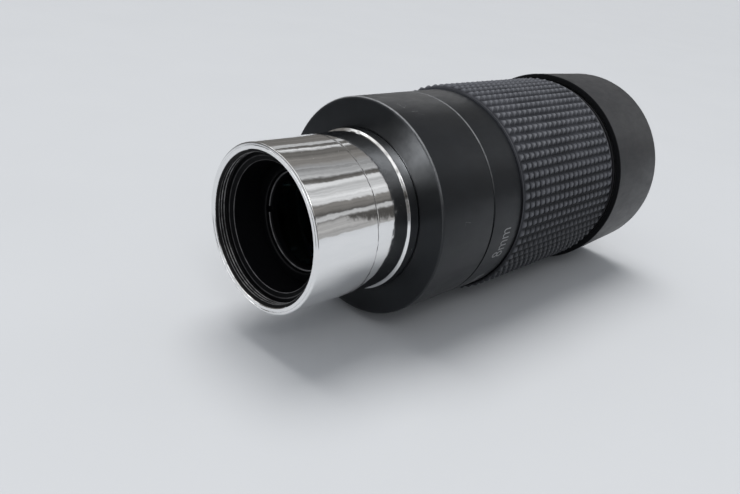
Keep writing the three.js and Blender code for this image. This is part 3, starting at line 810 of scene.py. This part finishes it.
def scale_mark(text, centre_deg):
    """text on the zoom ring: reads towards growing phi, letter tops towards the mouth"""
    name = "scale_mark_" + text
    curve = bpy.data.curves.new(name, "FONT")
    curve.body = text
    curve.size = TEXT_SIZE
    curve.extrude = 0.008
    curve.resolution_u = 6
    curve.offset = -0.035
    flat = add_object(name + "_tmp", curve)
    depsgraph = bpy.context.evaluated_depsgraph_get()
    mesh = bpy.data.meshes.new_from_object(flat.evaluated_get(depsgraph))
    bpy.data.objects.remove(flat)
    bpy.data.curves.remove(curve)
    bm = bmesh.new()
    bm.from_mesh(mesh)
    bmesh.ops.remove_doubles(bm, verts=bm.verts, dist=1e-5)
    left = min(v.co.x for v in bm.verts)
    right = max(v.co.x for v in bm.verts)
    x = left + TEXT_SLICE
    while x < right:
        bmesh.ops.bisect_plane(bm, geom=bm.verts[:] + bm.edges[:] + bm.faces[:],
                               plane_co=(x, 0, 0), plane_no=(1, 0, 0), dist=1e-6)
        x += TEXT_SLICE
    middle = (left + right) / 2
    for v in bm.verts:
        phi = math.radians(centre_deg) + (v.co.x - middle) * TEXT_SQUEEZE / body_radius
        v.co = Vector(on_axis_frame(phi, TEXT_BASELINE - v.co.y, body_radius + 0.012 + v.co.z))
    bm.to_mesh(mesh)
    bm.free()
    mesh.name = name
    finish_print(name, mesh, "zoom_ring_assembly", sharp=30)


def index_dot(centre_deg, centre_u, dot_radius, segments=40):
    """low domed dot on the fixed body"""
    bm = bmesh.new()
    rings = []
    for share, height in ((1.0, 0.0), (1.0, 0.014), (0.9, 0.02), (0.45, 0.022)):
        ring = []
        for k in range(segments):
            a = 2 * math.pi * k / segments
            phi = math.radians(centre_deg) + dot_radius * share * math.cos(a) / body_radius
            u = centre_u + dot_radius * share * math.sin(a)
            ring.append(bm.verts.new(on_axis_frame(phi, u, body_radius + 0.004 + height)))
        rings.append(ring)
    for ring, following in zip(rings[:-1], rings[1:]):
        for k in range(segments):
            k2 = (k + 1) % segments
            bm.faces.new((ring[k], ring[k2], following[k2], following[k]))
    bm.faces.new(rings[0][::-1])
    bm.faces.new(rings[-1])
    mesh = bpy.data.meshes.new("index_dot")
    bm.to_mesh(mesh)
    bm.free()
    finish_print("index_dot", mesh, "fixed_body", sharp=40)


for k, focal_length in enumerate((8, 12, 16, 20, 24)):
    scale_mark(f"{focal_length}mm", SCALE_FIRST + k * SCALE_STEP)
# the dot lines up with the 16 mm mark
index_dot(SCALE_FIRST + 2 * SCALE_STEP, centre_u=body_end - 2.0, dot_radius=0.75)

# ------------------------------------------------------------------ eye end
start, end, _ = span("eye_housing")
lathe("eye_housing", "skin", rounded([
    (17.95, start), (19.75, start), (19.75, 87.8), (21.6, 87.8, 0.2), (21.6, 88.6, 0.2),
    (20.6, 88.6), (20.6, end - 1.4, 0.2), (21.2, end - 1.0, 0.15), (21.2, end, 0.25),
    (18.85, end, 0.1), (18.85, 94), (15.5, 94), (15.5, 90), (17.95, 90)]),
    FLANGE, segments=256)

start, end, _ = span("rear_slip_ring")
lathe("rear_slip_ring", "skin", rounded([
    (20.15, start, 0.04), (21.35, start, 0.05), (21.35, end, 0.05), (20.15, end, 0.04)]),
    SLIP, segments=192)

lathe("eyecup_rubber", "skin", rounded([
    (22.45, cup_start + 0.6, 0.1), (22.95, cup_start, 0.12), (cup_radius, cup_start, 0.18),
    (23.45, cup_end, 1.75), (17.4, cup_end, 1.2), (15.0, cup_end - 2.4, 0.7),
    (15.0, cup_end - 3.3, 0.2), (22.45, cup_end - 3.3)], steps=10),
    EYECUP, segments=320, sharp=45)

start, end, radius = span("eyecup_carrier")
lathe("eyecup_carrier", "skin", rounded([
    (20.8, start, 0.25), (radius, start, 0.1), (radius, end), (21.4, end),
    (21.4, 92.4, 0.3), (20.8, 92.4, 0.1)]), CARRIER, segments=224)

start, end, radius = span("eye_cell")
lathe("eye_cell", "skin", rounded([
    (11.0, start), (13.3, start, 0.2), (13.3, 95.9), (radius, 95.9), (radius, end, 0.35),
    (14.7, end, 0.25), (13.0, end - 0.9, 0.3), (12.0, end - 0.9, 0.08), (12.0, 84),
    (11.0, 84)]), CELL, segments=256)

start, end, radius = span("eye_retaining_ring")
eye_ring = lathe("eye_retaining_ring", "skin", rounded([
    (radius, start), (radius, end, 0.08), (11.35, end, 0.08), (10.7, end - 0.55, 0.1),
    (10.7, start + 0.5), (11.0, start)]), CELL, segments=224)
cut_slots(eye_ring, radii=(10.2, 12.4), lengths=(end - 0.9, end + 0.4), width=1.3,
          angles=(20, 200))


# ------------------------------------------------------------------ floor
def floor_material():
    material, vec = new_material("pale_floor")
    x, y, _ = split(vec)
    black = (0.0, 0.0, 0.0)
    color = mix(noise(vec, scale=0.02), (0.465, 0.475, 0.49), (0.485, 0.495, 0.51))
    rays = add_node(vec.tree, "LightPath", {}).outputs
    # less bounce into the underside of the black parts
    color = mix(Signal(vec.tree, rays["Is Diffuse Ray"]) * 0.56, color, black)
    # reflections see a darker floor far out in front
    dark_front = (distance(x, y).fit(over=(165.0, 260.0), to=(0.0, 0.75))
                  * y.fit(over=(-110.0, -50.0), to=(1.0, 0.0)))
    color = mix(Signal(vec.tree, rays["Is Glossy Ray"]) * dark_front, color, black)
    grain = noise(vec, scale=1.6, detail=4.0, rough=0.6)
    return finish_material(material, principled(
        vec.tree, Base_Color=color, Roughness=0.9, Specular_IOR_Level=0.0,
        Normal=bump(grain, strength=0.05, depth=0.00006)))


def build_floor(segments=96):
    """flat disc just under the eyepiece, metres"""
    height = cad_low.z - 0.00002
    bm = bmesh.new()
    rings = [[bm.verts.new((0, 0, height))]]
    for r in (0.05, 0.1, 0.2, 0.4, 0.8, 1.6, 4.0, 12.0, 40.0):
        angles = [2 * math.pi * k / segments for k in range(segments)]
        rings.append([bm.verts.new((r * math.cos(a), r * math.sin(a), height)) for a in angles])
    for inner, outer in zip(rings[:-1], rings[1:]):
        for k in range(segments):
            k2 = (k + 1) % segments
            if len(inner) == 1:
                bm.faces.new((inner[0], outer[k], outer[k2]))
            else:
                bm.faces.new((inner[k], outer[k], outer[k2], inner[k2]))
    mesh = bpy.data.meshes.new("floor")
    bm.to_mesh(mesh)
    bm.free()
    floor = add_object("floor", mesh)
    mesh.materials.append(floor_material())


build_floor()


# ------------------------------------------------------------------ lights
def aim(obj, direction):
    obj.rotation_mode = "QUATERNION"
    obj.rotation_quaternion = Vector(direction).to_track_quat("-Z", "Y")


def sun_light(name, direction, energy, spread_deg, color):
    light = bpy.data.lights.new(name, "SUN")
    light.energy = energy
    light.angle = math.radians(spread_deg)
    light.color = color
    obj = add_object(name, light)
    aim(obj, direction)
    obj.visible_glossy = False


def area_light(name, at, size, power, color, target=(0, 0, 0), hidden_from=(), receivers=()):
    """square light; hidden_from lists ray kinds, receivers the only objects it lights"""
    light = bpy.data.lights.new(name, "AREA")
    light.shape = "RECTANGLE"
    light.size = size
    light.size_y = size
    light.energy = power
    light.color = color
    obj = add_object(name, light)
    obj.location = at
    aim(obj, Vector(target) - Vector(at))
    for ray in hidden_from:
        setattr(obj, "visible_" + ray, False)
    if receivers:
        lit = bpy.data.collections.new(name + "_receivers")
        for receiver in receivers:
            lit.objects.link(bpy.data.objects[receiver])
        obj.light_linking.receiver_collection = lit


sun_light("key_soft", direction=(0.24, -0.12, -0.95), energy=2.6, spread_deg=38,
          color=(1.0, 0.99, 0.975))
area_light("fill_soft", at=(0.45, -0.45, 0.45), size=0.5, power=0.9,
           color=(0.95, 0.97, 1.0), hidden_from=("glossy",))
area_light("glint", at=(0.42, -0.30, 0.50), target=(0, -0.03, 0), size=0.16, power=0.35,
           color=(1.0, 0.99, 0.97))
# low in front: only seen as a sheen across the turned face of the body
area_light("front_strip", at=(-0.115, -0.653, 0.154), target=(0, -0.03, 0), size=0.13,
           power=11.0, color=(1.0, 0.99, 1.0), hidden_from=("diffuse", "camera"),
           receivers=("body_shell_skin",))
# raking light: brightens the grip's facets that face forwards and up
area_light("grip_rake", at=(0.10, -0.75, 0.55), target=(0, 0.02, 0), size=0.20,
           power=17.0, color=(1.0, 0.99, 0.99), hidden_from=("camera",),
           receivers=("rubber_grip_pyramids",))
area_light("back_rim", at=(-0.75, 0.95, 0.42), size=0.5, power=0.45,
           color=(0.97, 0.98, 1.0), hidden_from=("diffuse", "camera"),
           receivers=("body_shell_skin", "zoom_ring_skin"))

# ------------------------------------------------------------------ world
# Places round the optical axis are in turns: 0 at +X, 0.25 straight up, 0.5 at -X.
RAMP_START, RAMP_LENGTH = -0.1, 0.7
# strip lights: start, end, level
STRIPS = (
    (-0.10, -0.006, 0.46), (0.061, 0.068, 0.60), (0.117, 0.168, 0.68), (0.180, 0.198, 0.70),
    (0.221, 0.243, 0.48), (0.256, 0.268, 0.34), (0.366, 0.373, 0.95), (0.398, 0.408, 0.60),
    (0.470, 0.60, 0.68))
# dark flags between them: start, end, level at start, level at end
FLAGS = (
    (0.0, 0.055, 0.065, 0.085), (0.075, 0.110, 0.10, 0.26), (0.173, 0.176, 0.52, 0.52),
    (0.2035, 0.2155, 0.12, 0.12), (0.250, 0.252, 0.38, 0.38), (0.290, 0.355, 0.21, 0.15),
    (0.379, 0.392, 0.12, 0.12), (0.414, 0.458, 0.17, 0.16))
MIN_STOP_GAP = 0.0018
MAX_STOPS = 32                      # a colour ramp holds no more


def strip_ramp(tree, turns):
    """colour of the strips and flags at an angle"""
    place = turns.fit(over=(-0.1, 0.6))
    node = add_node(tree, "ValToRGB", {0: place})
    stops = [(a, level) for start, end, level in STRIPS for a in (start, end)]
    for start, end, start_level, end_level in FLAGS:
        stops += [(start, start_level), (end, end_level)]
    stops.sort()
    stops = [stop for i, stop in enumerate(stops)
             if i == 0 or stop[0] - stops[i - 1][0] > MIN_STOP_GAP][:MAX_STOPS]
    elements = node.color_ramp.elements
    while len(elements) > 1:
        elements.remove(elements[-1])
    for k, (a, level) in enumerate(stops):
        position = (a - RAMP_START) / RAMP_LENGTH
        element = elements[0] if k == 0 else elements.new(position)
        element.position = position
        warmth = 0.04 if level < 0.3 else -0.01
        element.color = (level * (1 + warmth), level, level * (1 - warmth * 1.2), 1)
    return Signal(tree, node.outputs[0])


def background(tree, color, strength):
    return signal(tree, "Background", {0: color, 1: strength})


def build_world():
    world = bpy.data.worlds.new("studio")
    bpy.context.scene.world = world
    world.use_nodes = True
    tree = world.node_tree
    tree.nodes.clear()
    direction = signal(tree, "TexCoord", {}, "Generated")
    x, y, z = split(direction)
    wobble = noise(direction, scale=2.2, rough=0.55)
    turns = arctan2(z, x) / (2 * math.pi) + (wobble - 0.5) * 0.035
    color = strip_ramp(tree, turns)
    # finer streaks between the broad ones, above the horizon only
    fine = noise(combine(turns * 60.0, y * 0.6, 0.0), scale=1.0, rough=0.6)
    streak = fine.fit(over=(0.30, 0.70), to=(0.62, 1.38))
    above = z.fit(over=(-0.02, 0.06))
    streak = (streak - 1.0) * above + 1.0
    # slanted bright wedge low on the +X side
    slant = turns + (y - 0.675) * 0.8
    wedge = (slant.fit(over=(0.030, 0.038), to=(0.36, 0.0))
             * turns.fit(over=(0.050, 0.056), to=(1.0, 0.0)))
    # darker low in front, a bright panel high in front
    low_front = (y.fit(over=(-0.50, -0.25), to=(0.65, 0.0))
                 * z.fit(over=(0.30, 0.45), to=(1.0, 0.0)))
    streak = streak * (1.0 - low_front)
    panel = y.fit(over=(-0.32, -0.16), to=(0.62, 0.0)) * z.fit(over=(0.40, 0.58))
    reflected = scaled(add_light(add_light(color, wedge), panel), streak)
    # reflections, soft light and the camera each see their own backdrop
    gloss = background(tree, reflected, strength=1.0)
    soft = background(tree, (0.80, 0.83, 0.87), strength=z.fit(over=(0.0, 1.0), to=(0.28, 0.86)))
    seen = background(tree, (0.70, 0.715, 0.73), strength=1.0)
    rays = add_node(tree, "LightPath", {}).outputs
    lighting = mix_shader(Signal(tree, rays["Is Glossy Ray"]), soft, gloss)
    shader = mix_shader(Signal(tree, rays["Is Camera Ray"]), lighting, seen)
    add_node(tree, "OutputWorld", {0: shader})


build_world()


# ------------------------------------------------------------------ camera
def build_camera():
    data = bpy.data.cameras.new("camera")
    camera = add_object("camera", data)
    data.sensor_width = 36.0
    data.sensor_fit = "HORIZONTAL"
    data.lens = 34.60573
    data.clip_start = 0.005
    data.clip_end = 20.0
    right = Vector((0.6971, 0.7068, 0.1203)).normalized()
    forward = Vector((-0.6190, 0.6780, -0.3964)).normalized()
    right = (right - forward * right.dot(forward)).normalized()
    up = right.cross(forward).normalized()
    turn = Matrix((right, up, -forward)).transposed()
    place = Matrix.Translation((0.09404, MOUTH - 0.07340, 0.05035))
    camera.matrix_world = place @ turn.to_4x4()
    bpy.context.scene.camera = camera


build_camera()
bpy.context.scene.view_settings.view_transform = "Standard"
